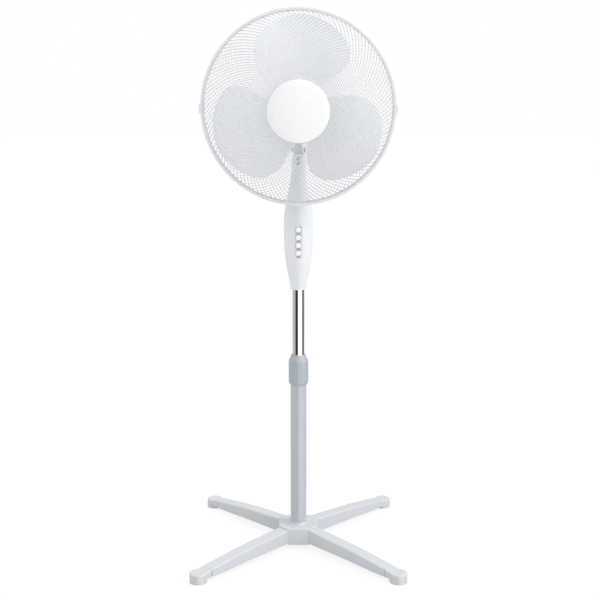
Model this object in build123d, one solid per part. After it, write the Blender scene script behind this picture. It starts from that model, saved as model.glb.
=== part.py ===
from build123d import *
from math import atan2, cos, degrees, pi, radians, sin, sqrt
import os

os.makedirs("parts", exist_ok=True)

# Pedestal fan. Millimetres, +Z up, the fan blows towards -Y.
# The origin is on the floor, under the middle of the post.

# ---- Driving dimensions ----
GUARD_RADIUS = 215.0        # outside of the guard, a 40 cm fan
PIVOT_HEIGHT = 961.0        # tilt bolt above the floor
AXIS_RISE = 105.0           # motor axis above the tilt bolt
HEAD_TILT = 7.0             # degrees that the stored head looks down
FOOT_REACH = 320.0          # post axis to the middle of a foot
LEG_WIDTH = 32.0
HUB_HALF = 48.0             # hub flats to the post axis
HUB_TOP = 50.0
LOWER_TUBE_RADIUS = 19.2
INNER_TUBE_RADIUS = 14.1
COLLAR_BOTTOM, COLLAR_TOP = 405.0, 476.0
HOUSING_BOTTOM, HOUSING_TOP = 635.0, 948.0
BUTTON_PITCH = 18.2
BUTTON_FIRST = 724.5        # height of the lowest button
BUTTON_TRAVEL = 3.5
BLADE_RADIUS = 200.0
BADGE_RADIUS = 68.0
SHAFT_RADIUS = 4.0
MOTOR_COVER_RADIUS = 58.0
SWIVEL_PIN_RADIUS = 6.0
SKIN = 2.2                  # wall of the plastic shells
RUN_FIT = 0.05              # radial clearance of a turning or sliding fit

# Gear train from the motor shaft to the crank
SPINDLE_X = -19.0
GEAR_PLANE = -47.0          # along the motor axis
PINION_TEETH, CRANK_TEETH, WORM_WHEEL_TEETH = 8, 28, 50
GEAR_MODULE = 1.0
CRANK_X = SPINDLE_X + GEAR_MODULE * (PINION_TEETH + CRANK_TEETH) / 2 + 0.1
CRANK_THROW = 9.0
LINK_PIVOT_X = 14.0

BASE = (Align.CENTER, Align.CENTER, Align.MIN)

# The head has its own frame: X to the right, Y up across the motor, Z forward along the motor axis.
HEAD = Plane(
    origin=(0, -AXIS_RISE * sin(radians(HEAD_TILT)), PIVOT_HEIGHT + AXIS_RISE * cos(radians(HEAD_TILT))),
    x_dir=(1, 0, 0),
    z_dir=(0, -cos(radians(HEAD_TILT)), -sin(radians(HEAD_TILT))),
)


# ---- Small helpers ----
def save(node, *solids):
    """Write one node. Several solids stay separate pieces of that node."""
    shape = solids[0] if len(solids) == 1 else Compound(children=list(solids))
    export_step(shape, f"parts/{node}.step")


def on_head(solid):
    """Move a solid from the head's frame to where the head stands."""
    return HEAD.location * solid


def rod(radius, low, high):
    """Round bar along Z from low to high."""
    return Pos(0, 0, low) * Cylinder(radius, high - low, align=BASE)


def ring(inner, outer, low, high):
    """Tube along Z from low to high."""
    return rod(outer, low, high) - rod(inner, low - 1, high + 1)


def rod_x(radius, low, high, y=0.0, z=0.0):
    """Round bar along X from low to high."""
    return Pos(low, y, z) * Rot(0, 90, 0) * Cylinder(radius, high - low, align=BASE)


def rod_y(radius, low, high, x=0.0, z=0.0):
    """Round bar along Y from low to high."""
    return Pos(x, low, z) * Rot(-90, 0, 0) * Cylinder(radius, high - low, align=BASE)


def block(x, y, z):
    """Box from three (low, high) pairs."""
    middle = [(low + high) / 2 for low, high in (x, y, z)]
    return Pos(*middle) * Box(x[1] - x[0], y[1] - y[0], z[1] - z[0])


def turned(*points):
    """Solid of revolution about Z from an outline of (radius, height) points."""
    outline = Polyline(*[(r, 0, h) for r, h in points], close=True)
    return revolve(make_face(outline), Axis.Z)


def hex_bar(across, low, high):
    """Hexagonal bar along Z."""
    return Pos(0, 0, low) * extrude(RegularPolygon(across / 2, 6, major_radius=False), high - low)


def around(solid, count, start=0.0):
    """Copies of a solid spread evenly about Z."""
    return [Rot(0, 0, start + 360 * k / count) * solid for k in range(count)]


# ---- Base: two half-lapped bars under a hub, foot caps and pads ----
BAR_BOTTOM = 13.0
BAR_SEAT = 44.0             # top of the bars inside the hub
LAP = (BAR_BOTTOM + BAR_SEAT) / 2
BAR_END = 292.0
BAR_STEP = HUB_HALF * sqrt(2) - LEG_WIDTH / 2 + 0.1    # just outside the hub's diagonal faces
BAR_WALL = 3.0
FOOT_RADIUS = 20.0
FOOT_TOP = 24.0
BAR_TIP = (8.6, 26.8)         # bottom and top of a bar where its foot cap starts
PAD_HEIGHT = 3.0


def bar_side(inset):
    """Half of a bar's side view, from the hub out to the foot, made smaller by inset."""
    return [
        (62, 46.2 - inset),
        (150, 41.0 - inset),
        (205, 36.6 - inset),
        (BAR_END, BAR_TIP[1] - inset),
        (BAR_END, BAR_TIP[0]),
        (250, BAR_TIP[0]),
        (190, 11.0),
        (62, BAR_BOTTOM),
    ]


def bar_half():
    outer = Polyline((0, 0, BAR_SEAT), (BAR_STEP, 0, BAR_SEAT), (BAR_STEP, 0, 47.2),
                     *[(s, 0, z) for s, z in bar_side(0)], (0, 0, BAR_BOTTOM), close=True)
    solid = extrude(make_face(outer), LEG_WIDTH / 2, both=True)
    top_edges = solid.edges().filter_by(lambda e: e.length > 50 and e.center().Z > 25 and e.center().X > 60)
    solid = fillet([e for e in top_edges if abs(e.center().Y) > LEG_WIDTH / 2 - 1], 3.0)
    hollow = Polyline(*[(s, 0, z) for s, z in bar_side(BAR_WALL)[:4]],
                      (BAR_END, 0, 0), (62, 0, 0), close=True)
    hollow = extrude(make_face(hollow), LEG_WIDTH / 2 - BAR_WALL, both=True)
    return solid - hollow


def leg_bar(lower):
    """Whole bar along X. The lower bar is cut from above at the crossing, the upper one from below."""
    half = bar_half()
    bar = half + Rot(0, 0, 180) * half
    reach = LEG_WIDTH / 2 + 0.2
    cut = (LAP - 0.1, 60) if lower else (0, LAP + 0.1)
    return bar - block((-reach, reach), (-reach, reach), cut) - rod(4.3, 0, 60)


def base_hub():
    """Octagonal cover whose corners follow the bars' sides."""
    near = HUB_HALF - LEG_WIDTH / sqrt(2)
    corners = [(near, -HUB_HALF), (HUB_HALF, -near), (HUB_HALF, near), (near, HUB_HALF),
               (-near, HUB_HALF), (-HUB_HALF, near), (-HUB_HALF, -near), (-near, -HUB_HALF)]
    plan = make_face(Polyline(*corners, close=True))
    outer = Pos(0, 0, 10) * extrude(plan, HUB_TOP - 10)
    outer = fillet(outer.faces().sort_by(Axis.Z)[-1].edges(), 2.0)
    inner = extrude(offset(plan, -3.0, kind=Kind.INTERSECTION), HUB_TOP - 3)
    passage = block((-90, 90), (-LEG_WIDTH / 2 - 0.1, LEG_WIDTH / 2 + 0.1), (0, 47.0))
    hub = outer - inner - Rot(0, 0, 45) * passage - Rot(0, 0, 135) * passage
    flare = turned((LOWER_TUBE_RADIUS + 0.1, HUB_TOP - 1), (23, HUB_TOP - 1), (23, HUB_TOP),
                   (20.6, HUB_TOP + 5), (LOWER_TUBE_RADIUS + 0.1, HUB_TOP + 5))
    return hub + flare - rod(LOWER_TUBE_RADIUS + 0.1, 20, HUB_TOP + 9)


def foot_cap():
    """Moulded end cap with a round toe and a tongue that plugs the bar."""
    toe = rod(FOOT_RADIUS, 1.5, FOOT_TOP)
    toe = Pos(FOOT_REACH, 0, 0) * fillet(toe.faces().sort_by(Axis.Z)[-1].edges(), 3.5)
    start = BAR_END + 0.1
    side = Polyline((start, 0, BAR_TIP[0]), (FOOT_REACH, 0, BAR_TIP[0]), (FOOT_REACH, 0, FOOT_TOP - 4),
                    (FOOT_REACH - 10, 0, FOOT_TOP - 0.5), (start, 0, BAR_TIP[1]), close=True)
    heel = extrude(make_face(side), LEG_WIDTH / 2, both=True)
    top_edges = heel.edges().filter_by(lambda e: 15 < e.length < 20 and e.center().Z > BAR_TIP[0] + 5)
    heel = fillet([e for e in top_edges if abs(e.center().Y) > LEG_WIDTH / 2 - 1], 3.0)
    tongue = block((BAR_END - 24, BAR_END + 3), (-LEG_WIDTH / 2 + 3.1, LEG_WIDTH / 2 - 3.1), (10, 15))
    return toe + heel + tongue - Pos(FOOT_REACH, 0, 0) * rod(15.1, 0, PAD_HEIGHT + 0.05)


def collet():
    """Split bush in the top of the lower tube that the collar squeezes onto the inner tube."""
    low = COLLAR_BOTTOM - 27
    bush = turned((INNER_TUBE_RADIUS + RUN_FIT, low), (LOWER_TUBE_RADIUS - 1.25, low),
                  (LOWER_TUBE_RADIUS - 1.25, COLLAR_BOTTOM + 7.2), (19.2, COLLAR_BOTTOM + 7.2),
                  (19.2, COLLAR_BOTTOM + 48), (15.4, COLLAR_BOTTOM + 60),
                  (INNER_TUBE_RADIUS + RUN_FIT, COLLAR_BOTTOM + 60))
    for turn in (0, 90):
        bush -= Rot(0, 0, turn) * block((-1, 1), (-25, 25), (COLLAR_BOTTOM + 22, COLLAR_TOP))
    return bush


def collar():
    """Height collar with a chamfered top and finger grooves."""
    body = turned((19.6, COLLAR_BOTTOM), (22.6, COLLAR_BOTTOM), (23.75, COLLAR_BOTTOM + 3),
                  (23.75, COLLAR_TOP - 17), (22.6, COLLAR_TOP - 13.5), (17.2, COLLAR_TOP - 1.2),
                  (16.4, COLLAR_TOP), (INNER_TUBE_RADIUS + 0.4, COLLAR_TOP),
                  (INNER_TUBE_RADIUS + 0.4, COLLAR_TOP - 7), (19.6, COLLAR_TOP - 19))
    groove = Pos(23.75 + 4.4, 0, 0) * rod(5.0, COLLAR_BOTTOM + 6, COLLAR_TOP - 20)
    for cut in around(groove, 12, 15):
        body -= cut
    return body


def build_base():
    bar_lower = Rot(0, 0, 45) * leg_bar(lower=True)
    bar_upper = Rot(0, 0, -45) * leg_bar(lower=False)
    save("leg_bar_lower", bar_lower)
    save("leg_bar_upper", bar_upper)
    save("base_hub", base_hub())
    save("foot_caps", *around(foot_cap(), 4, 45))
    save("foot_pads", *around(Pos(FOOT_REACH, 0, 0) * rod(15, 0, PAD_HEIGHT), 4, 45))
    save("base_washer", ring(4.3, 13, BAR_BOTTOM - 2, BAR_BOTTOM))
    save("base_bolt", rod(4.0, BAR_BOTTOM - 2.1, 76) + hex_bar(13, BAR_BOTTOM - 7.5, BAR_BOTTOM - 2))
    tube_top = COLLAR_BOTTOM + 7
    save("lower_tube", ring(LOWER_TUBE_RADIUS - 1.2, LOWER_TUBE_RADIUS, BAR_SEAT + 0.1, tube_top))
    save("tube_plug", ring(4.05, LOWER_TUBE_RADIUS - 1.25, BAR_SEAT + 0.1, 82))
    save("collet", collet())
    save("height_collar", collar())


# ---- Upper post: chrome tube, control housing, switch, buttons, fork ----
TUBE_LOW, TUBE_HIGH = 250.0, 700.0
SEAM_Y = 3.0                # plane where the two housing shells meet
PANEL_Y = -30.6             # floor of the button recess
KNOB_HEIGHT = 932.0
BODY_SECTIONS = [
    (HOUSING_BOTTOM, 37.7, 37.7),
    (680, 53, 56),
    (716, 63.5, 64),
    (760, 68.5, 66.5),
    (800, 69, 66),
    (820, 65.5, 62),
]
NECK_SECTIONS = [(800, 63.5, 58), (838, 59, 53.5), (875, 43, 42), (923, 32.5, 34), (HOUSING_TOP, 30, 32)]
SCREW_SPOTS = [(x, z) for z in (730, 790) for x in (-22, 22)]


def spindle(sections, wall, low_cap, high_cap):
    """Smooth body through elliptical (height, width, depth) sections, drawn in by wall."""
    faces = []
    for number, (z, width, depth) in enumerate(sections):
        level = z + (low_cap if number == 0 else 0) - (high_cap if number == len(sections) - 1 else 0)
        faces.append(Pos(0, 0, level) * Ellipse(width / 2 - wall, depth / 2 - wall))
    return loft(faces)


def housing_outside():
    body = spindle(BODY_SECTIONS, 0, 0, 0)
    body = fillet(body.faces().sort_by(Axis.Z)[-1].edges(), 2.5)
    return body + spindle(NECK_SECTIONS, 0, 0, 0)


def housing_inside():
    return spindle(BODY_SECTIONS, SKIN, 3.0, SKIN) + spindle(NECK_SECTIONS, SKIN, 0, -2)


def housing_shells():
    outside = housing_outside()
    inside = housing_inside()
    shell = outside - inside - rod(INNER_TUBE_RADIUS + 0.1, 600, 660)
    panel_low, panel_high = BUTTON_FIRST - 13, BUTTON_FIRST + 3 * BUTTON_PITCH + 13
    recess = SlotCenterToCenter(panel_high - panel_low - 17, 17)
    recess = Plane.XZ * Pos(0, (panel_low + panel_high) / 2) * Rot(0, 0, 90) * recess
    recess = Pos(0, PANEL_Y, 0) * extrude(recess, 9)
    backing = block((-13, 13), (PANEL_Y, PANEL_Y + SKIN), (panel_low - 4, panel_high + 4)) & outside
    bosses = [rod_y(5.2, -40, 40, x, z) & outside for x, z in SCREW_SPOTS]
    shell = shell + backing + bosses - recess
    for k in range(4):
        z = BUTTON_FIRST + k * BUTTON_PITCH
        shell -= block((-6.3, 6.3), (-40, PANEL_Y + 6), (z - 5.8, z + 5.8))
    front = shell & block((-60, 60), (-60, SEAM_Y - 0.05), (600, 1000))
    rear = shell & block((-60, 60), (SEAM_Y + 0.05, 60), (600, 1000))
    for x, z in SCREW_SPOTS:
        front -= rod_y(1.9, -8, 20, x, z)
        rear -= rod_y(1.9, -8, 40, x, z) + rod_y(3.7, 18, 40, x, z)
    for z in (932, 942):
        front -= rod_y(1.7, -40, 0, 0, z)
    rear -= rod_y(5.1, 15, 40, 0, 672) + rod_y(2.2, 10, 40, 0, 652) + rod_y(3.4, 0, 40, 0, KNOB_HEIGHT)
    return front, rear


def push_button():
    cap = block((-6, 6), (PANEL_Y - 5, PANEL_Y + 4.4), (-5.5, 5.5))
    front_face = cap.faces().sort_by(Axis.Y)[0]
    cap = fillet(cap.edges().filter_by(Axis.Y), 3.0)
    cap = fillet(cap.faces().sort_by(Axis.Y)[0].edges(), 1.6)
    return cap


def neck_fork():
    """Insert in the neck with two ears for the tilt bolt."""
    plug = Pos(0, 0, 890) * extrude(Ellipse(12, 13), 60)
    ears = rod_x(10.5, -12, 12, 0, PIVOT_HEIGHT)
    ears += block((-12, 12), (-10.5, 10.5), (HOUSING_TOP + 0.4, PIVOT_HEIGHT))
    fork = plug + ears - block((-8.8, 8.8), (-20, 20), (949.5, 990))
    fork -= rod_x(3.05, -20, 20, 0, PIVOT_HEIGHT) + rod_y(3.05, 1, 20, 0, KNOB_HEIGHT)
    for z in (932, 942):
        fork -= rod_y(1.55, -20, -5, 0, z)
    return fork


def tilt_knob():
    grip = rod(10.5, 0, 13)
    for cut in around(Pos(13, 0, -1) * rod(4.5, 0, 20), 6):
        grip -= cut
    grip = Pos(0, 18.5, KNOB_HEIGHT) * Rot(-90, 0, 0) * grip
    return grip + rod_y(3.0, 3, 19, 0, KNOB_HEIGHT)


def build_post():
    tube = ring(INNER_TUBE_RADIUS - 1, INNER_TUBE_RADIUS, TUBE_LOW, TUBE_HIGH)
    save("inner_tube", tube - rod_y(2.1, 5, 20, 0, 652))
    stop = ring(10, 13.05, TUBE_LOW - 4, TUBE_LOW + 14) + ring(10, 17.3, TUBE_LOW - 4, TUBE_LOW - 0.1)
    save("tube_stop", stop)
    sleeve = ring(INNER_TUBE_RADIUS + 0.05, 16.3, 639, 705)
    save("tube_sleeve", sleeve - rod_y(2.1, 5, 20, 0, 652))
    front, rear = housing_shells()
    save("housing_front", front)
    save("housing_rear", rear)
    save("switch_block", block((-13, 13), (PANEL_Y + 8.2, -9), (714, 794)))
    for k in range(4):
        save(f"push_button_{k + 1}", Pos(0, 0, BUTTON_FIRST + k * BUTTON_PITCH) * push_button())
    screws = [rod_y(1.8, -7, 18.1, x, z) + rod_y(3.5, 18, 20.5, x, z) for x, z in SCREW_SPOTS]
    save("tube_screw", rod_y(2.0, 11, 21.3, 0, 652) + rod_y(2.1, 21, 23.4, 0, 652))
    gland = rod_y(5, 17.5, 32, 0, 672) + rod_y(7.5, 28.7, 30.5, 0, 672) - rod_y(3, 10, 40, 0, 672)
    save("cord_gland", gland)
    save("neck_fork", neck_fork())
    fork_screws = [rod_y(1.5, -17, -6, 0, z) + rod_y(3.8, -19.0, -16.9, 0, z) for z in (932, 942)]
    save("housing_screws", *screws, *fork_screws)
    bolt = rod_x(3.0, -12.1, 17.5, 0, PIVOT_HEIGHT)
    head = Pos(-16, 0, PIVOT_HEIGHT) * Rot(0, 90, 0) * hex_bar(10, 0, 3.9)
    nut = Pos(12.1, 0, PIVOT_HEIGHT) * Rot(0, 90, 0) * hex_bar(10, 0, 4.4)
    save("tilt_bolt", bolt + head, nut - rod_x(3.0, 0, 20, 0, PIVOT_HEIGHT))
    save("tilt_knob", tilt_knob())


# ---- Tilt bracket and link arm, in the head's frame ----
BRACKET_TOP = -69.0
LINK_LOW, LINK_HIGH = -67.5, -65.7


def upright(radius, low, high, x=0.0, forward=0.0):
    """Round bar across the motor axis, along the head's own up direction."""
    return rod_y(radius, low, high, x, forward)


def tilt_bracket():
    tongue = rod_x(9.5, -8.5, 8.5, -AXIS_RISE, 0) + block((-8.5, 8.5), (-AXIS_RISE, -86), (-8.5, 8.5))
    socket = upright(13, -87, BRACKET_TOP) + upright(5, -83, BRACKET_TOP, LINK_PIVOT_X)
    bracket = tongue + socket - rod_x(3.05, -20, 20, -AXIS_RISE, 0)
    return bracket - upright(8.05, -84, 0) - upright(2.05, -81, 0, LINK_PIVOT_X)


def link_arm():
    pin = (CRANK_X + CRANK_THROW, GEAR_PLANE)
    run = (pin[0] - LINK_PIVOT_X, pin[1])
    length = sqrt(run[0] ** 2 + run[1] ** 2)
    bar = block((0, length), (LINK_LOW, LINK_HIGH), (-3.5, 3.5))
    eyes = upright(5, LINK_LOW, LINK_HIGH) + upright(5, LINK_LOW, LINK_HIGH, length)
    arm = bar + eyes - upright(2.05, -80, -50) - upright(2.6, -80, -50, length)
    turn = degrees(atan2(-run[1], run[0]))
    return Pos(LINK_PIVOT_X, 0, 0) * Rot(0, turn, 0) * arm


def build_bracket():
    save("tilt_bracket", on_head(tilt_bracket()))
    bush = upright(8, -84, BRACKET_TOP - 0.1) - upright(SWIVEL_PIN_RADIUS + RUN_FIT, -90, 0)
    save("swivel_bush", on_head(bush))
    screw = upright(2.0, -80, LINK_HIGH + 0.3, LINK_PIVOT_X)
    save("link_screw", on_head(screw + upright(3.4, LINK_HIGH + 0.2, LINK_HIGH + 2, LINK_PIVOT_X)))
    save("link_arm", on_head(link_arm()))


# ---- Motor and gear box ----
CORE_RADIUS = 44.0
CORE = (-12.0, 10.0)
BELL_RADIUS = CORE_RADIUS + 2.1
COVER_SPLIT = -20.0
COVER_FACE = 28.0
COVER_BACK = -88.0
MOTOR_BOLT_CIRCLE = 41.5


def end_bell(disc, boss, rim_end):
    """Pressed end bracket with a bearing boss. disc and boss are (low, high) along the shaft."""
    bell = rod(BELL_RADIUS, *disc) + rod(12, *boss)
    low, high = sorted((rim_end, disc[0] if rim_end < disc[0] else disc[1]))
    bell += ring(CORE_RADIUS + 0.1, BELL_RADIUS, low, high)
    bell -= rod(9.05, boss[0] - 1, boss[1] + 1)
    for hole in around(Pos(MOTOR_BOLT_CIRCLE, 0, 0) * rod(2.1, -60, 60), 4, 45):
        bell -= hole
    return bell


def motor_neck():
    """Casting under the motor that holds the swivel pin."""
    neck = block((-14, 14), (-62, -38), (-14, 14)) - rod(BELL_RADIUS + 0.1, -30, 30)
    return neck - upright(SWIVEL_PIN_RADIUS + 0.02, -90, -50)


def motor_covers():
    def dome(radius, back):
        turns = [radians(a) for a in range(0, 91, 15)]
        profile = [(radius * cos(a), -50 - (-50 - back) * sin(a)) for a in turns]
        profile[-1] = (0, back)
        outline = Spline(*[(r, 0, h) for r, h in profile], tangents=[(0, 0, -1), (-1, 0, 0)])
        sides = Polyline((0, 0, back), (0, 0, COVER_SPLIT - 0.1),
                         (radius, 0, COVER_SPLIT - 0.1), (radius, 0, -50))
        return revolve(make_face(outline + sides), Axis.Z)

    radius = MOTOR_COVER_RADIUS
    rear = dome(radius, COVER_BACK) - dome(radius - SKIN, COVER_BACK + SKIN) - rod(radius - SKIN, -40, 0)
    rear -= upright(4.0, 0, 70, SPINDLE_X, GEAR_PLANE) + upright(4.5, -70, 0, CRANK_X, GEAR_PLANE)
    rear -= rod(2.2, COVER_BACK - 5, -60)
    vent = block((-1.6, 1.6), (26, 70), (-78, -52))
    for turn in (-40, -20, 0, 20, 40):
        rear -= Rot(0, 0, turn) * vent
    front = turned((0, COVER_SPLIT), (radius, COVER_SPLIT), (radius, COVER_FACE - 5),
                   (radius - 5, COVER_FACE), (0, COVER_FACE))
    front -= rod(radius - SKIN, COVER_SPLIT - 1, COVER_FACE - SKIN) + rod(12.4, 0, COVER_FACE + 1)
    front += ring(19, 22, COVER_FACE - 0.5, COVER_FACE + 13)
    front -= block((-14.5, 14.5), (-70, -48), (COVER_SPLIT - 1, 14.5))
    return front, rear


def gear_case():
    """Box on the back of the motor, open at the rear where its lid goes."""
    low, high = -63.0, -29.7
    outer = block((-37, 8), (-8, 8), (low, high)) + block((-27, 17), (-42, -7), (low, high))
    inner = block((-35, 6), (-6, 6), (low - 1, high - 2))
    inner += block((-25, 15), (-40, -5), (low - 1, high - 2))
    case = outer - inner - rod(4.3, -70, 0)
    case -= upright(2.8, 0, 20, SPINDLE_X, GEAR_PLANE) + upright(3.3, -50, -30, CRANK_X, GEAR_PLANE)
    lid = block((-37, 8), (-8, 8), (low - 2.1, low - 0.1))
    lid += block((-27, 17), (-42, -7), (low - 2.1, low - 0.1))
    return case, lid - rod(2.05, -70, 0)


def spur(teeth, module, low, high):
    """Spur gear along Z with straight-sided teeth and a little backlash."""
    pitch = module * teeth / 2
    gear = rod(pitch - 1.15 * module, low, high)
    root, tip = pitch - 1.3 * module, pitch + 0.85 * module
    tooth = Polyline((root, -0.8 * module), (pitch, -0.68 * module), (tip, -0.3 * module),
                     (tip, 0.3 * module), (pitch, 0.68 * module), (root, 0.8 * module), close=True)
    tooth = Pos(0, 0, low) * extrude(make_face(tooth), high - low)
    return gear + around(tooth, teeth)


def spindle_gears():
    """Vertical spindle with the worm wheel and, below, the pinion. Built along Z, then stood up."""
    wheel_radius = abs(SPINDLE_X) - SHAFT_RADIUS - 0.1
    wheel = rod(wheel_radius, -3, 3)
    notch = Pos(wheel_radius + 0.2, 0, -4) * rod(0.6, 0, 8)
    for cut in around(notch, WORM_WHEEL_TEETH):
        wheel -= cut
    spindle_rod = rod(2.5, -38, 44)
    return wheel + spindle_rod + spur(PINION_TEETH, GEAR_MODULE, -38, -30)


def stand_up(solid, x):
    """Turn a piece built along Z onto the head's up direction, in the gear plane."""
    return Pos(x, 0, GEAR_PLANE) * Rot(-90, 0, 0) * solid


def crank():
    """Gear, shaft, disc and crank pin, built along Z."""
    half_tooth = 180 / CRANK_TEETH
    gear = Rot(0, 0, 180 + half_tooth) * spur(CRANK_TEETH, GEAR_MODULE, -37.5, -31)
    disc = rod(13, -64, -61) + Pos(CRANK_THROW, 0, 0) * rod(2.5, LINK_HIGH + 0.3, -63.5)
    return gear + rod(3.0, -61.5, -31) + disc


def motor_shaft():
    """Shaft with the worm's ribs turned at its rear end."""
    shaft = rod(SHAFT_RADIUS, -58, 126)
    rib_pitch = 2 * pi * (abs(SPINDLE_X) - SHAFT_RADIUS) / WORM_WHEEL_TEETH
    for k in range(-4, 5):
        level = GEAR_PLANE + rib_pitch * (k + 0.5)
        shaft -= ring(SHAFT_RADIUS - 0.7, SHAFT_RADIUS + 1, level - 0.4, level + 0.4)
    return shaft - rod_x(1.5, -9, 9, 0, 50)


def build_motor():
    save("swivel_pin", on_head(upright(SWIVEL_PIN_RADIUS, -83.5, -50.5)))
    save("motor_neck", on_head(motor_neck()))
    core = ring(22.3, CORE_RADIUS, *CORE)
    for hole in around(Pos(MOTOR_BOLT_CIRCLE, 0, 0) * rod(2.1, -60, 60), 4, 45):
        core -= hole
    save("stator_core", on_head(core))
    save("stator_windings", on_head(ring(25, 38.5, 10.2, 20.5)), on_head(ring(25, 38.5, -22.5, -12.2)))
    save("rotor_core", on_head(ring(SHAFT_RADIUS, 22, *CORE)))
    save("motor_front_bell", on_head(end_bell((22.3, 24.3), (21, 30), 0)))
    save("motor_rear_bell", on_head(end_bell((-27, -25), (-29.6, -21.5), -1)))
    bushes = [ring(SHAFT_RADIUS + RUN_FIT, 9, *span) for span in ((21, 29.9), (-29.5, -21.5))]
    save("shaft_bushes", *[on_head(bush) for bush in bushes])
    bolt = rod(2, -27.1, 24.5) + rod(3.5, 24.4, 25.7) + ring(1.9, 3.6, -29.4, -27.1)
    save("motor_bolts", *[on_head(b) for b in around(Pos(MOTOR_BOLT_CIRCLE, 0, 0) * bolt, 4, 45)])
    save("capacitor", on_head(fillet(block((21, 34), (-15, 15), (-58, -34)).edges(), 1.5)))
    case, lid = gear_case()
    save("gear_case", on_head(case))
    save("gear_case_lid", on_head(lid))
    front, rear = motor_covers()
    save("motor_cover_front", on_head(front))
    save("motor_cover_rear", on_head(rear))
    screw = rod(2.0, COVER_BACK - 0.1, -64) + rod(3.8, COVER_BACK - 2, COVER_BACK - 0.05)
    save("cover_screw", on_head(screw))
    save("motor_shaft", on_head(motor_shaft()))
    save("spindle_gears", on_head(stand_up(spindle_gears(), SPINDLE_X)))
    save("crank", on_head(stand_up(crank(), CRANK_X)))
    knob = rod(9, 58, 70) + rod(3.2, 51, 58.5)
    knob = fillet(knob.faces().sort_by(Axis.Z)[-1].edges(), 2)
    save("swing_knob", on_head(stand_up(knob, SPINDLE_X)))


# ---- Guards ----
GUARD_WIRES = 36            # spiral wires modelled in each guard
SPIRAL = 165.0              # a wire turns one radian for each this many millimetres outwards
RIM_WIRE = 2.3
RIM_CENTRE = 210.0
RIM_REAR, RIM_FRONT = 85.0, 95.0
REAR_RING, REAR_FACE = 60.0, 31.0
FRONT_RING, FRONT_FACE = 64.0, 143.0


def rear_level(r):
    """Distance of the rear guard's wires along the axis at radius r."""
    share = (r - REAR_RING) / (RIM_CENTRE - REAR_RING)
    return REAR_FACE + (RIM_REAR - REAR_FACE) * share ** 2.6


def front_level(r):
    """Distance of the front guard's wires along the axis at radius r."""
    share = (r - FRONT_RING) / (RIM_CENTRE - FRONT_RING)
    return FRONT_FACE - (FRONT_FACE - RIM_FRONT) * share ** 3.2


def spiral_wire(first, last, level, turn):
    """Round wire from radius first to last, bent as one arc through its middle."""
    points = []
    for r in (first, (first + 2 * last) / 3, last):
        angle = turn * (r - first) / SPIRAL
        points.append((r * cos(angle), r * sin(angle), level(r)))
    path = ThreePointArc(*points)
    return sweep(path.location_at(0) * Circle(1.0), path)


def torus(major, minor, level):
    return Pos(0, 0, level) * Torus(major, minor)


def build_guards():
    wire_end = RIM_CENTRE - RIM_WIRE - 0.6
    rear_wires = around(spiral_wire(REAR_RING + 2.4, wire_end, rear_level, 1), GUARD_WIRES)
    plate = ring(22.3, REAR_RING, REAR_FACE - 1, REAR_FACE + 1)
    rim = torus(RIM_CENTRE, RIM_WIRE, RIM_REAR)
    save("rear_guard", on_head(plate), on_head(rim), *[on_head(w) for w in rear_wires])
    front_wires = around(spiral_wire(FRONT_RING + 2.4, wire_end, front_level, -1), GUARD_WIRES)
    hub = torus(FRONT_RING, 1.2, FRONT_FACE)
    rim = torus(RIM_CENTRE, RIM_WIRE, RIM_FRONT)
    save("front_guard", on_head(hub), on_head(rim), *[on_head(w) for w in front_wires])
    low, high = RIM_REAR - 4, RIM_FRONT + 4
    inner = GUARD_RADIUS - 2
    lip = RIM_CENTRE - 1
    band = turned((GUARD_RADIUS, low), (GUARD_RADIUS, high), (lip, high), (lip, high - 1.4),
                  (inner, high - 1.4), (inner, low + 1.4), (lip, low + 1.4), (lip, low))
    save("guard_band", on_head(band))
    clip = block((GUARD_RADIUS + 0.1, GUARD_RADIUS + 3.4), (-9, 9), (low - 1.6, high + 1.6))
    hooks = block((GUARD_RADIUS - 5, GUARD_RADIUS + 3), (-9, 9), (low - 1.6, low - 0.1))
    hooks += block((GUARD_RADIUS - 5, GUARD_RADIUS + 3), (-9, 9), (high + 0.1, high + 1.6))
    clip = clip + hooks - rod(GUARD_RADIUS + 0.1, low, high)
    save("guard_clips", *[on_head(c) for c in around(clip, 2)])
    nut = ring(22.3, 38, COVER_FACE + 4.1, COVER_FACE + 12)
    for cut in around(Pos(41, 0, 0) * rod(6, 0, 60), 8):
        nut -= cut
    save("guard_nut", on_head(nut))
    badge = turned((0, 151), (30, 150.2), (55, 148.6), (65.5, 147.2), (BADGE_RADIUS, 146),
                   (BADGE_RADIUS, 144.5), (BADGE_RADIUS - 1.5, 144.5), (64.5, 145.6), (0, 148.6))
    save("badge", on_head(badge))
    back = ring(10, 62, 139.4, 141.4) + ring(6, 11, 139.4, 147.8)
    save("badge_backplate", on_head(back))


# ---- Blade wheel ----
HUB_RADIUS = 45.0
HUB_BACK, HUB_FRONT = 56.0, 106.0
BLADE_MIDDLE = 88.0         # blade surface along the axis at the middle of its sweep
BLADE_PITCH = 26.0          # millimetres along the axis for each radian of sweep
BLADE_THICKNESS = 2.2


def blade_outline():
    """Petal seen from the front: long trailing edge, round tip, hollowed leading edge."""
    # (share of the tip radius, degrees from the blade's middle, towards the trailing edge)
    edge = [(0.20, 58), (0.36, 52), (0.49, 48), (0.655, 43.5), (0.765, 38), (0.847, 33), (0.907, 26),
            (0.951, 17), (0.984, 8), (1.0, -1), (0.994, -9), (0.973, -17), (0.94, -25.5), (0.90, -34),
            (0.852, -41), (0.776, -47), (0.678, -50), (0.546, -50), (0.437, -47), (0.36, -44), (0.20, -38)]
    points = []
    for share, angle in edge:
        turn = radians(90 + angle)
        points.append((share * BLADE_RADIUS * cos(turn), share * BLADE_RADIUS * sin(turn)))
    curve = Spline(*points)
    return make_face(curve + Line(points[-1], points[0]))


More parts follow.
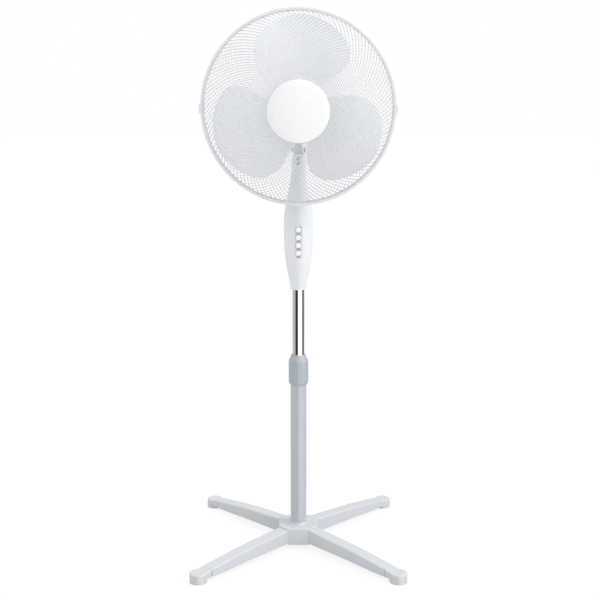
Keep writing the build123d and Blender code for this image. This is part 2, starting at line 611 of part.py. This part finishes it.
def blade_sheet():
    """Helical sheet: it rises along the axis in step with the angle, and droops a little to the tip."""
    rows = []
    for i in range(9):
        r = 30 + 176 * i / 8
        row = []
        for j in range(13):
            angle = radians(-66 + 132 * j / 12)
            level = BLADE_MIDDLE + BLADE_PITCH * angle
            row.append((-r * sin(angle), r * cos(angle), level))
        rows.append(row)
    return Face.make_surface_from_array_of_points(rows)


def blade_wheel():
    sheet = Solid.thicken(blade_sheet(), BLADE_THICKNESS)
    petal = Pos(0, 0, 20) * extrude(blade_outline(), 140)
    blade = sheet & petal
    blade -= rod(HUB_RADIUS - 1.2, 0, 200)
    cup = turned((0, HUB_FRONT - 2.5), (HUB_RADIUS - 5.5, HUB_FRONT - 2.5),
                 (HUB_RADIUS - 2.5, HUB_FRONT - 8), (HUB_RADIUS - 2.5, HUB_BACK),
                 (HUB_RADIUS, HUB_BACK), (HUB_RADIUS, HUB_FRONT - 6),
                 (HUB_RADIUS - 5, HUB_FRONT), (0, HUB_FRONT))
    wheel = cup + rod(11, 47, HUB_FRONT - 1) + around(blade, 3)
    pin_slot = rod_x(1.7, -20, 20, 0, 50) + block((-20, 20), (-1.7, 1.7), (40, 50))
    wheel -= rod(SHAFT_RADIUS + 0.05, 0, 200) + pin_slot
    return wheel


def build_blades():
    save("blade_wheel", on_head(blade_wheel()))
    save("drive_pin", on_head(rod_x(1.45, -8.5, 8.5, 0, 50)))
    nut = turned((0, 128), (14, 127), (18, 121), (19, HUB_FRONT + 0.1), (0, HUB_FRONT + 0.1))
    for cut in around(Pos(21.5, 0, 0) * rod(4.5, 100, 140), 6):
        nut -= cut
    save("blade_nut", on_head(nut - rod(SHAFT_RADIUS + 0.02, 100, 126.2)))


build_base()
build_post()
build_bracket()
build_motor()
build_guards()
build_blades()
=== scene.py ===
import bmesh
import bpy
import numpy as np
from math import cos, pi, radians, sin
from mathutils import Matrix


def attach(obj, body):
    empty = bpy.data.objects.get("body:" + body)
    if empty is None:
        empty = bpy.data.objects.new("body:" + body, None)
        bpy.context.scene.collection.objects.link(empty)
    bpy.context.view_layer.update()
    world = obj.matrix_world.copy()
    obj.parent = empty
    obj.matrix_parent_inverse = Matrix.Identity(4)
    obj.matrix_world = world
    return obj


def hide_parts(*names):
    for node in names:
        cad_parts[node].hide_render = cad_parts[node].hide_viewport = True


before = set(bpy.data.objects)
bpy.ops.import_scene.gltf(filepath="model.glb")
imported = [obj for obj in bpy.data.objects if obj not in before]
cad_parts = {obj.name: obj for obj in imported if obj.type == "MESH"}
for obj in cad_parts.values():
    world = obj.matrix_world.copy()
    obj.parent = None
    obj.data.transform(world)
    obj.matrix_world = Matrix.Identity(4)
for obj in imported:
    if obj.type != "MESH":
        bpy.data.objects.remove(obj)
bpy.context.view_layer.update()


# ======== Studio ========
# A white room: the camera stands at chest height in front of the fan and looks a little down. The light is
# soft all round, and one broad lamp stands to the right. Bright metal sees tall strips of light and dark.

camera_data = bpy.data.cameras.new("camera")
camera_data.sensor_width = 36.0
camera_data.lens = 60.06
camera = bpy.data.objects.new("camera", camera_data)
camera.location = (0.0037, -2.344, 1.030)
camera.rotation_euler = (radians(79.8), 0, 0)
bpy.context.scene.collection.objects.link(camera)
bpy.context.scene.camera = camera
bpy.context.scene.view_settings.view_transform = "Standard"

AMBIENT = 0.99                     # light from every side
LIGHT_PULL = (0.0, 0.0, 0.16)      # extra light from above
AMBIENT_LEAST = 0.05
STRIPS = [                         # (turn from the camera side in degrees, brightness) seen in bright metal
    (-180, 0.62), (-64, 0.52), (-56, 0.035), (-10, 0.035), (-2, 2.4), (66, 2.4), (75, 0.16), (120, 0.22),
    (180, 0.45),
]


def add(tree, kind, inputs=(), **settings):
    """Adds a node, sets its properties, and sets or links its inputs, given as (socket, value or output)."""
    node = tree.nodes.new(kind)
    for key, value in settings.items():
        setattr(node, key, value)
    for socket, value in inputs:
        if isinstance(value, bpy.types.NodeSocket):
            tree.links.new(value, node.inputs[socket])
        else:
            node.inputs[socket].default_value = value
    return node


world = bpy.data.worlds.new("studio")
bpy.context.scene.world = world
world.use_nodes = True
tree = world.node_tree
tree.nodes.clear()
direction = add(tree, "ShaderNodeTexCoord").outputs["Generated"]
pull = add(tree, "ShaderNodeVectorMath", [(0, direction), (1, LIGHT_PULL)], operation="DOT_PRODUCT")
soft = add(tree, "ShaderNodeMath", [(0, pull.outputs["Value"]), (1, AMBIENT)], operation="ADD")
soft = add(tree, "ShaderNodeMath", [(0, soft.outputs[0]), (1, AMBIENT_LEAST)], operation="MAXIMUM")
axes = add(tree, "ShaderNodeSeparateXYZ", [(0, direction)])
toward = add(tree, "ShaderNodeMath", [(0, axes.outputs["Y"]), (1, -1.0)], operation="MULTIPLY")
turn = add(tree, "ShaderNodeMath", [(0, axes.outputs["X"]), (1, toward.outputs[0])], operation="ARCTAN2")
turn = add(tree, "ShaderNodeMath", [(0, turn.outputs[0]), (1, 1 / (2 * pi)), (2, 0.5)],
           operation="MULTIPLY_ADD")
strips = add(tree, "ShaderNodeValToRGB", [(0, turn.outputs[0])])
for angle, level in STRIPS[1:-1]:
    strips.color_ramp.elements.new((angle + 180) / 360)
for stop, (angle, level) in zip(strips.color_ramp.elements, STRIPS):
    stop.color = (level, level, level, 1)
seen = add(tree, "ShaderNodeLightPath")
glossy = add(tree, "ShaderNodeMix", [("Factor", seen.outputs["Is Glossy Ray"]), ("A", soft.outputs[0])])
tree.links.new(strips.outputs["Color"], glossy.inputs["B"])
final = add(tree, "ShaderNodeMix",
            [("Factor", seen.outputs["Is Camera Ray"]), ("A", glossy.outputs[0]), ("B", 1.0)])
sky = add(tree, "ShaderNodeBackground", [("Color", (1, 1, 1, 1)), ("Strength", final.outputs[0])])
add(tree, "ShaderNodeOutputWorld", [("Surface", sky.outputs[0])])

key_data = bpy.data.lights.new("key", "SUN")
key_data.energy = 1.15
key_data.angle = radians(24)
key = bpy.data.objects.new("key", key_data)
key.rotation_euler = (radians(55), 0, radians(80))     # from the right, a little in front, 35 degrees up
bpy.context.scene.collection.objects.link(key)

FLOOR_REACH = 60.0                 # metres, half a side
FLOOR_GLOW = 0.86                  # share of its own light in what the camera sees of the floor
floor_mesh = bpy.data.meshes.new("floor")
corners = [(x * FLOOR_REACH, y * FLOOR_REACH, 0) for x, y in ((-1, -1), (1, -1), (1, 1), (-1, 1))]
floor_mesh.from_pydata(corners, [], [(0, 1, 2, 3)])
floor = bpy.data.objects.new("floor", floor_mesh)
bpy.context.scene.collection.objects.link(floor)
floor_paint = bpy.data.materials.new("floor_paint")
floor_paint.use_nodes = True
tree = floor_paint.node_tree
tree.nodes.clear()
lit = add(tree, "ShaderNodeBsdfDiffuse", [("Color", (0.97, 0.97, 0.97, 1))])
glow = add(tree, "ShaderNodeEmission", [("Color", (1, 1, 1, 1))])
bright = add(tree, "ShaderNodeMixShader", [(0, FLOOR_GLOW), (1, lit.outputs[0]), (2, glow.outputs[0])])
dim = add(tree, "ShaderNodeBsdfDiffuse", [("Color", (0.64, 0.64, 0.65, 1))])
seen = add(tree, "ShaderNodeLightPath")
choice = add(tree, "ShaderNodeMixShader",
             [(0, seen.outputs["Is Camera Ray"]), (1, dim.outputs[0]), (2, bright.outputs[0])])
add(tree, "ShaderNodeOutputMaterial", [("Surface", choice.outputs[0])])
floor_mesh.materials.append(floor_paint)
floor.visible_glossy = False


# ======== Cross base ========
# Two hollow moulded bars are half-lapped under an octagonal cover, and a foot cap is plugged into each end.
# All of it is pale grey polypropylene with a fine eroded grain.

def moulded_plastic(name, colour, roughness=0.38, grain=0.00003, grain_size=0.0011, mottle=0.012):
    """Principled plastic: slow noise clouds the colour by mottle and the gloss a little, and fine noise is
    the grain."""
    material = bpy.data.materials.new(name)
    material.use_nodes = True
    tree = material.node_tree
    shader = tree.nodes["Principled BSDF"]
    place = add(tree, "ShaderNodeTexCoord").outputs["Object"]
    cloud = add(tree, "ShaderNodeTexNoise", [("Vector", place), ("Scale", 14.0), ("Detail", 3.0)])
    shades = add(tree, "ShaderNodeValToRGB", [(0, cloud.outputs[0])])
    low, high = shades.color_ramp.elements
    low.position, high.position = 0.3, 0.7
    low.color = [channel * (1 - mottle) for channel in colour] + [1]
    high.color = [min(1, channel * (1 + mottle)) for channel in colour] + [1]
    tree.links.new(shades.outputs[0], shader.inputs["Base Color"])
    smear = add(tree, "ShaderNodeTexNoise", [("Vector", place), ("Scale", 60.0), ("Detail", 4.0)])
    gloss = add(tree, "ShaderNodeMapRange", [(0, smear.outputs[0]), (1, 0.3), (2, 0.7), (3, roughness - 0.05),
                                             (4, roughness + 0.07)])
    tree.links.new(gloss.outputs[0], shader.inputs["Roughness"])
    pits = add(tree, "ShaderNodeTexNoise", [("Vector", place), ("Scale", 1 / grain_size), ("Detail", 2.0)])
    bump = add(tree, "ShaderNodeBump", [("Height", pits.outputs[0]), ("Distance", grain), ("Strength", 0.6)])
    tree.links.new(bump.outputs[0], shader.inputs["Normal"])
    shader.inputs["IOR"].default_value = 1.5
    return material


def dress(material, *nodes):
    """Gives CAD nodes a material."""
    for node in nodes:
        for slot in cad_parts[node].material_slots:
            slot.material = material


base_plastic = moulded_plastic("base_plastic", (0.59, 0.607, 0.64), roughness=0.36)
dress(base_plastic, "leg_bar_lower", "leg_bar_upper", "base_hub", "foot_caps")


# ======== Foot pads ========
# A round pad of grey rubber is pressed into the underside of each foot cap.
# It keeps the fan from sliding and stands a little proud of the cap.

pad_rubber = moulded_plastic("pad_rubber", (0.20, 0.20, 0.21), roughness=0.8, grain=0.0002, mottle=0.10)
dress(pad_rubber, "foot_pads")


# ======== Base bolt and washer ========
# One zinc-plated bolt goes up from below through a washer and both bars into the plug in the lower tube.
# Turning and rolling leave faint streaks under the plating.

def worked_metal(name, colour, roughness, streak, metallic=1.0, depth=0.00003):
    """Principled metal: noise drawn out along one direction gives streaks in tint, gloss and height."""
    material = bpy.data.materials.new(name)
    material.use_nodes = True
    tree = material.node_tree
    shader = tree.nodes["Principled BSDF"]
    place = add(tree, "ShaderNodeTexCoord").outputs["Object"]
    squeeze = add(tree, "ShaderNodeMapping", [("Vector", place), ("Scale", (streak, streak, 1.0))])
    lines = add(tree, "ShaderNodeTexNoise",
                [("Vector", squeeze.outputs[0]), ("Scale", 40.0), ("Detail", 5.0)])
    tint = add(tree, "ShaderNodeValToRGB", [(0, lines.outputs[0])])
    low, high = tint.color_ramp.elements
    low.color = [channel * 0.88 for channel in colour] + [1]
    high.color = list(colour) + [1]
    tree.links.new(tint.outputs[0], shader.inputs["Base Color"])
    gloss = add(tree, "ShaderNodeMapRange", [(0, lines.outputs[0]), (1, 0.3), (2, 0.7), (3, roughness * 0.8),
                                             (4, roughness * 1.25)])
    tree.links.new(gloss.outputs[0], shader.inputs["Roughness"])
    bump = add(tree, "ShaderNodeBump", [("Height", lines.outputs[0]), ("Distance", depth), ("Strength", 0.4)])
    tree.links.new(bump.outputs[0], shader.inputs["Normal"])
    shader.inputs["Metallic"].default_value = metallic
    return material


zinc = worked_metal("zinc_plate", (0.66, 0.67, 0.70), 0.34, 12.0)
dress(zinc, "base_washer", "base_bolt")


# ======== Lower tube ========
# A thin steel tube with a pale satin powder coat stands in the hub on a black plastic plug.
# The coat has the slight orange peel of baked powder.

tube_coat = moulded_plastic("tube_coat", (0.475, 0.495, 0.54), roughness=0.24, grain=0.00003,
                            grain_size=0.0016)
dress(tube_coat, "lower_tube")
dark_plastic = moulded_plastic("dark_plastic", (0.03, 0.03, 0.033), roughness=0.5)
dress(dark_plastic, "tube_plug")


# ======== Height collar ========
# A fluted collar of blue-grey plastic screws down over a split nylon bush at the top of the lower tube,
# and squeezes it onto the inner tube.

collar_plastic = moulded_plastic("collar_plastic", (0.40, 0.435, 0.48), roughness=0.32)
dress(collar_plastic, "height_collar")
nylon = moulded_plastic("natural_nylon", (0.80, 0.79, 0.75), roughness=0.5)
dress(nylon, "collet")


# ======== Inner tube ========
# A bright chromed steel tube slides in the collet. A black stop at its foot guides it in the lower tube,
# and a nylon sleeve at its top centres it in the housing.

chrome = worked_metal("chrome_plate", (0.90, 0.91, 0.93), 0.05, 3.0, depth=0.000002)
dress(chrome, "inner_tube")
dress(dark_plastic, "tube_stop")
dress(nylon, "tube_sleeve")


# ======== Control housing ========
# Two white shells meet along the sides and are held by black screws from behind. They stand on the inner
# tube and carry the switch, and the mains lead leaves them through a black gland.

white_plastic = moulded_plastic("white_plastic", (0.785, 0.80, 0.83), roughness=0.5, grain=0.00004)
dress(white_plastic, "housing_front", "housing_rear")
black_oxide = worked_metal("black_oxide", (0.035, 0.035, 0.04), 0.42, 6.0, metallic=0.6)
dress(black_oxide, "housing_screws", "tube_screw")
dress(dark_plastic, "switch_block", "cord_gland")


# ======== Push buttons ========
# Four glossy white buttons stand one above the other in a recess of the front shell.
# They are moulded with soft edges, and press against springs in the switch.

button_plastic = moulded_plastic("button_plastic", (0.93, 0.935, 0.945), roughness=0.24, grain=0.00001,
                                 mottle=0.006)
dress(button_plastic, "push_button_1", "push_button_2", "push_button_3", "push_button_4")


# ======== Button shadow pads ===
# Small dark grey pillows lie on the recess floor, one below each push button. They are painted shadow:
# they stand for the shade that falls under each button, and are not a real part of the fan.

FIRST_BUTTON, BUTTON_STEP = 724.5, 18.2    # mm, height of the first button's middle, and the step to the next
RECESS_FLOOR = -30.6                       # mm, how far forward the recess floor lies
# mm, size of the painted shadow pads below the buttons
SHADOW_PAD_HALF_WIDTH, SHADOW_PAD_HALF_HEIGHT = 4.9, 2.2
SHADOW_PAD_SHRINK = (0.0, 0.98, 1.0, 1.0, 0.97, 0.6, 0.0)    # share of the full outline, row by row
SHADOW_PAD_RISE = (0.0, 0.0, 0.1, 0.55, 0.7, 0.8, 0.8)       # mm off the recess floor, row by row
MERGE = 1e-6                               # metres, points nearer than this are one
CRISP = radians(38)                        # edges steeper than this stay crisp


def skin(points, close_rows=False):
    """Corners and faces of point grids shaped (copies, rows, columns, 3): each point joins the next in its
    row, all the way round, and those in the next row."""
    points = points[None] if points.ndim == 3 else points
    here = np.arange(points[..., 0].size).reshape(points.shape[:3])
    next_row = np.roll(here, -1, axis=1)
    faces = np.stack([here, np.roll(here, -1, axis=2), np.roll(next_row, -1, axis=2), next_row], axis=-1)
    faces = faces if close_rows else faces[:, :-1]
    return points.reshape(-1, 3), faces.reshape(-1, 4)


def piece(name, material, *skins):
    """One object from several skins: doubled points merged, faces turned outwards, steep edges kept crisp."""
    starts = np.cumsum([0] + [len(points) for points, _ in skins])
    points = np.concatenate([points for points, _ in skins])
    quads = np.concatenate([quads + start for (_, quads), start in zip(skins, starts)])
    mesh = bpy.data.meshes.new(name)
    mesh.from_pydata(points.tolist(), [], quads.tolist())
    work = bmesh.new()
    work.from_mesh(mesh)
    bmesh.ops.remove_doubles(work, verts=work.verts, dist=MERGE)
    bmesh.ops.recalc_face_normals(work, faces=work.faces)
    work.to_mesh(mesh)
    work.free()
    mesh.polygons.foreach_set("use_smooth", np.ones(len(mesh.polygons), bool))
    mesh.set_sharp_from_angle(angle=CRISP)
    mesh.materials.append(material)
    thing = bpy.data.objects.new(name, mesh)
    bpy.context.scene.collection.objects.link(thing)
    return thing


# The pads are painted shadow: dark grey pillows placed where shade falls under the buttons.
def shadow_pads():
    """Pillows: every row is the rounded outline |x/a|^4 + |z/b|^4 = 1 times its own shrink, and the rows rise
    from the recess floor to a crown."""
    turn = np.linspace(0, 2 * pi, 32, endpoint=False)[None, None, :]
    shrink = np.array(SHADOW_PAD_SHRINK)[None, :, None]
    rise = np.array(SHADOW_PAD_RISE)[None, :, None]
    middle = FIRST_BUTTON - BUTTON_STEP / 2 + BUTTON_STEP * np.arange(4)[:, None, None]
    x = SHADOW_PAD_HALF_WIDTH * shrink * np.sign(np.cos(turn)) * np.abs(np.cos(turn)) ** 0.5
    z = SHADOW_PAD_HALF_HEIGHT * shrink * np.sign(np.sin(turn)) * np.abs(np.sin(turn)) ** 0.5
    return skin(np.stack(np.broadcast_arrays(x, RECESS_FLOOR - rise, z + middle), axis=-1) / 1000)


# Dark grey paint for the pads: painted shadow below each button, not a real material.
shadow_pad_paint = moulded_plastic("painted_shadow_grey", (0.42, 0.43, 0.45), roughness=0.9, grain=0.0001, mottle=0.15)
button_shadow_pads = piece("button_shadow_pads", shadow_pad_paint, shadow_pads())
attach(button_shadow_pads, "post")


# ======== Neck fork and tilt knob ========
# A white insert in the top of the housing has two ears for the black tilt bolt and its nut.
# The fluted knob at the back screws into the insert, and sets how stiff the tilt is.

dress(white_plastic, "neck_fork", "tilt_knob")
dress(black_oxide, "tilt_bolt")


# ======== Tilt bracket and link arm ========
# A pressed steel bracket, black zinc plated, tilts between the ears and holds the bronze bush of the swivel
# pin. The bright link arm is screwed to it and steers the swing.

black_zinc = worked_metal("black_zinc", (0.20, 0.205, 0.22), 0.45, 9.0, metallic=0.8)
dress(black_zinc, "tilt_bracket")
bronze = worked_metal("bearing_bronze", (0.62, 0.45, 0.22), 0.40, 20.0)
dress(bronze, "swivel_bush")
dress(zinc, "link_arm")
dress(black_oxide, "link_screw")


# ======== Motor ========
# Two zinc-plated bells clamp the stator with four long bolts, and hold the shaft in bronze bushes. The coils
# are red-brown enamelled copper. A black capacitor sits behind, and the neck below holds the swivel pin.

dress(zinc, "motor_neck", "swivel_pin", "motor_bolts", "motor_front_bell", "motor_rear_bell", "stator_core")
dress(bronze, "shaft_bushes")
copper = worked_metal("enamelled_copper", (0.60, 0.26, 0.12), 0.30, 60.0)
dress(copper, "stator_windings")
dress(dark_plastic, "capacitor")


# ======== Swing gear ========
# A nylon gear case behind the motor takes the worm's drive down to a steel crank below.
# The white knob on top is pulled up to take the spindle out of gear.

dress(nylon, "gear_case", "gear_case_lid", "spindle_gears")
dress(zinc, "crank")
dress(white_plastic, "swing_knob")


# ======== Motor covers ========
# A round front cover carries the guards on its neck, and a domed rear cover with vent slots is held by
# one black screw. Both are the housing's white plastic.

dress(white_plastic, "motor_cover_front", "motor_cover_rear")
dress(black_oxide, "cover_screw")


# ======== Shaft and rotor core ========
# The ground steel shaft carries the rotor core inside the motor, a worm at its rear end, and a cross pin
# that drives the blade wheel.

dress(zinc, "motor_shaft", "rotor_core", "drive_pin")


# ======== Rear guard ========
# A basket of spiral wires, welded to a pressed ring plate and a thick rim wire, and coated white.
# A fluted white nut clamps the plate on the front motor cover's neck.

TILT = radians(7.0)                # how far the stored head looks down
PIVOT_Z, AXIS_RISE = 961.0, 105.0  # mm, height of the tilt bolt, and the motor axis above it
WIRES = 120
WIRE = 0.9                         # mm, radius
WIRE_ROWS, WIRE_SIDES = 30, 6
SPIRAL = 165.0                     # mm of radius for one radian of turn
RIM_BITE = 0.8                     # mm, how far short of the rim wire's middle the wires end
PLATE_SINK = 2.0                   # mm, how far the wires start inside the ring plate's edge
RIM, RIM_WIRE = 210.0, 2.3         # mm, radius of the rim, and of its wire
RIM_SIDES = 12
REAR_RING, REAR_FACE, REAR_RIM = 60.0, 31.0, 85.0      # mm, ring plate's radius, its depth, the rim's depth
REAR_BOWL = 2.6                    # power of the bowl's curve


def on_head(x, up, forward):
    """World points in metres from mm on the head's own axes (right, up across the motor, forward along it):
    turned down by TILT about the tilt bolt."""
    y = -(forward * cos(TILT) + (up + AXIS_RISE) * sin(TILT))
    z = PIVOT_Z - forward * sin(TILT) + (up + AXIS_RISE) * cos(TILT)
    return np.stack(np.broadcast_arrays(x, y, z), axis=-1) / 1000


def spiral_wires(first, level, way):
    """Round wires from radius first to the rim, closed at both ends: the angle grows as
    way * (radius - first) / SPIRAL, and the depth is level(radius)."""
    radius = np.linspace(first, RIM - RIM_BITE, WIRE_ROWS)[None, :]
    turn = 2 * pi * np.arange(WIRES)[:, None] / WIRES + way * (radius - first) / SPIRAL
    middle = np.stack([radius * np.cos(turn), radius * np.sin(turn), level(radius) + 0 * turn], axis=-1)
    along = np.gradient(middle, axis=1)
    along /= np.linalg.norm(along, axis=-1, keepdims=True)
    side = np.cross(along, (0, 0, 1.0))
    side /= np.linalg.norm(side, axis=-1, keepdims=True)
    over = np.cross(side, along)
    spot = (2 * pi * np.arange(WIRE_SIDES) / WIRE_SIDES)[None, None, :, None]
    tube = middle[:, :, None] + WIRE * (np.cos(spot) * side[:, :, None] + np.sin(spot) * over[:, :, None])
    ends = middle[:, :, None] + 0 * tube
    tube = np.concatenate([ends[:, :1], tube, ends[:, -1:]], axis=1)
    return skin(on_head(tube[..., 0], tube[..., 1], tube[..., 2]))


def turned(profile, steps=180):
    """A closed profile of (radius, forward) points in mm carried round the motor axis: each is a circle."""
    profile = np.asarray(profile, float)
    turn = 2 * pi * np.arange(steps)[None, :] / steps
    radius, forward = profile[:, :1], profile[:, 1:]
    return skin(on_head(radius * np.cos(turn), radius * np.sin(turn), forward + 0 * turn), close_rows=True)


def round_wire(radius, forward, wire):
    """Ring of round wire about the motor axis: a circle of radius wire carried round a larger one."""
    spot = 2 * pi * np.arange(RIM_SIDES) / RIM_SIDES
    return turned(np.stack([radius + wire * np.cos(spot), forward + wire * np.sin(spot)], axis=-1))


def rear_level(radius):
    """Depth of the rear basket: from the ring plate's to the rim's, by a power of the way out."""
    way_out = np.clip((radius - REAR_RING) / (RIM - REAR_RING), 0, None)
    return REAR_FACE + (REAR_RIM - REAR_FACE) * way_out ** REAR_BOWL


wire_coat = moulded_plastic("wire_coat", (0.82, 0.83, 0.85), roughness=0.30, grain=0.00002, grain_size=0.003)
ring_plate = turned([(22.4, 30.2), (22.6, 30.0), (59.4, 30.0), (60, 30.6), (60, 31.4), (59.4, 32.0),
                     (52, 32.0), (50, 33.0), (46, 33.0), (44, 32.0), (22.6, 32.0), (22.4, 31.8)])
rear_basket = piece("rear_basket", wire_coat, ring_plate, round_wire(RIM, REAR_RIM, RIM_WIRE),
                    spiral_wires(REAR_RING - PLATE_SINK, rear_level, 1))
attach(rear_basket, "head")
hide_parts("rear_guard")
dress(white_plastic, "guard_nut")


# ======== Blade wheel ========
# One moulding: a round cup on the motor shaft and three wide petals that twist like a propeller.
# The plastic is bright and a little cool, with a light sheen. A fluted white nut holds the wheel on.

PETALS = (90.0, 210.0, 330.0)      # where each petal's middle points, degrees
PETAL_HALF = 1.1                   # mm, half of a petal's thickness
PETAL_MIDDLE, PETAL_TWIST = 88.0, 26.0     # mm forward at a petal's middle, and mm more for each radian
BLADE_REACH = 200.0                # mm, from the axis to a petal's tip
ROOT = 0.224                       # share of the reach where a petal starts, inside the cup's wall
THIN_EDGE = 12.0                   # mm of half width below which a petal thins towards its tip
PETAL_ROWS, PETAL_COLUMNS, EDGE_COLUMNS = 60, 41, 9
# Each edge of a petal is a list of (share of the reach, degrees from the petal's middle).
LEADING = [(0.20, -38), (0.36, -44), (0.437, -47), (0.546, -50), (0.678, -50), (0.776, -47), (0.852, -41),
           (0.90, -34), (0.94, -25.5), (0.973, -17), (0.994, -9), (1.0, -1)]
TRAILING = [(0.20, 58), (0.36, 52), (0.49, 48), (0.655, 43.5), (0.765, 38), (0.847, 33), (0.907, 26),
            (0.951, 17), (0.984, 8), (1.0, -1)]


def edge_turn(edge, share):
    """Angle of a petal's edge in radians: cubic pieces through its points, smooth in the arcsine of the
    share, which opens up the tip."""
    places = np.arcsin(np.array(edge)[:, 0])
    turns = np.radians(np.array(edge)[:, 1])
    slopes = np.gradient(turns, places)
    at = np.arcsin(share)
    left = np.clip(np.searchsorted(places, at) - 1, 0, len(places) - 2)
    gap = places[left + 1] - places[left]
    t = (at - places[left]) / gap
    return ((2 * t**3 - 3 * t**2 + 1) * turns[left] + (t**3 - 2 * t**2 + t) * gap * slopes[left]
            + (3 * t**2 - 2 * t**3) * turns[left + 1] + (t**3 - t**2) * gap * slopes[left + 1])


def petals():
    """Slabs on the screw surface forward = PETAL_MIDDLE + PETAL_TWIST * angle. Each row lies at one radius,
    goes from edge to edge on top and back below, and has a half circle round each edge."""
    share = np.sin(np.linspace(np.arcsin(ROOT), pi / 2, PETAL_ROWS))
    first, last = edge_turn(LEADING, share), edge_turn(TRAILING, share)
    radius = BLADE_REACH * share
    half_width = np.maximum((last - first) / 2 * radius, 0)
    thick = PETAL_HALF * np.sqrt(np.minimum(1, half_width / THIN_EDGE))
    across = np.linspace(-1, 1, PETAL_COLUMNS)
    bend = np.linspace(0, pi, EDGE_COLUMNS)[1:-1]
    width = np.concatenate([across, 1 + 0 * bend, across[::-1], 0 * bend - 1])
    out = np.concatenate([0 * across, np.sin(bend), 0 * across, -np.sin(bend)])
    lift = np.concatenate([1 + 0 * across, np.cos(bend), 0 * across - 1, -np.cos(bend)])
    inner = np.maximum(half_width - thick, 0)[:, None]
    arc = inner * width[None] + thick[:, None] * out[None]
    angle = (first + last)[:, None] / 2 + arc / radius[:, None]
    forward = PETAL_MIDDLE + PETAL_TWIST * angle + thick[:, None] * lift[None]
    turn = np.radians(PETALS)[:, None, None] + angle[None]
    points = on_head(radius[None, :, None] * np.cos(turn), radius[None, :, None] * np.sin(turn),
                     forward[None] + 0 * turn)
    root = points[:, :1].mean(axis=2, keepdims=True) + 0 * points[:, :1]
    return skin(np.concatenate([root, points], axis=1))


blade_plastic = moulded_plastic("blade_plastic", (0.92, 0.93, 0.95), roughness=0.30, grain=0.00003)
cup = turned([(0.001, 103.5), (39.5, 103.5), (42.5, 98), (42.5, 56.4), (42.9, 56), (44.6, 56), (45, 56.4),
              (45, 101), (44.4, 103.2), (42.6, 105.2), (40, 106), (0.001, 106)])
boss = turned([(4.06, 47.4), (4.4, 47), (10.4, 47), (11, 47.6), (11, 104), (4.06, 104)], steps=48)
blades = piece("blades", blade_plastic, cup, boss, petals())
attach(blades, "rotor")
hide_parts("blade_wheel")
dress(white_plastic, "blade_nut")


# ======== Front guard ========
# The front basket is welded like the rear one. It starts from a ring of wire behind the badge and spirals
# the other way, so that the two together look like a fine net.

FRONT_RING, FRONT_FACE, FRONT_RIM = 64.0, 143.0, 95.0  # mm, badge ring's radius, its depth, the rim's depth
FRONT_RING_WIRE = 1.4              # mm, radius
FRONT_BOWL = 3.2                   # power of the bowl's curve


def front_level(radius):
    """Depth of the front basket: from the badge ring's to the rim's, by a power of the way out."""
    way_out = np.clip((radius - FRONT_RING) / (RIM - FRONT_RING), 0, None)
    return FRONT_FACE - (FRONT_FACE - FRONT_RIM) * way_out ** FRONT_BOWL


front_basket = piece("front_basket", wire_coat, round_wire(FRONT_RING, FRONT_FACE, FRONT_RING_WIRE),
                     round_wire(RIM, FRONT_RIM, RIM_WIRE), spiral_wires(FRONT_RING, front_level, -1))
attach(front_basket, "head")
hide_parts("front_guard")


# ======== Guard band and clips ========
# A flexible white plastic channel is wrapped round both rim wires, and its two lips reach inwards over them.
# A moulded white clip at each side locks it.

guard_plastic = moulded_plastic("guard_plastic", (0.77, 0.785, 0.81), roughness=0.33)
channel = turned([(214.2, 81.0), (215.0, 81.8), (215.0, 98.2), (214.2, 99.0), (209.6, 99.0), (209.0, 98.3),
                  (209.6, 97.6), (212.6, 97.6), (213.0, 97.2), (213.0, 82.8), (212.6, 82.4), (209.6, 82.4),
                  (209.0, 81.7), (209.6, 81.0)])
rim_band = piece("rim_band", guard_plastic, channel)
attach(rim_band, "head")
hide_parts("guard_band")
dress(white_plastic, "guard_clips")


# ======== Badge ========
# A slightly domed round cap of the buttons' bright white plastic covers the middle of the front guard.
# It is fastened through the guard to a back plate of the housing's plastic.

dress(button_plastic, "badge")
dress(white_plastic, "badge_backplate")
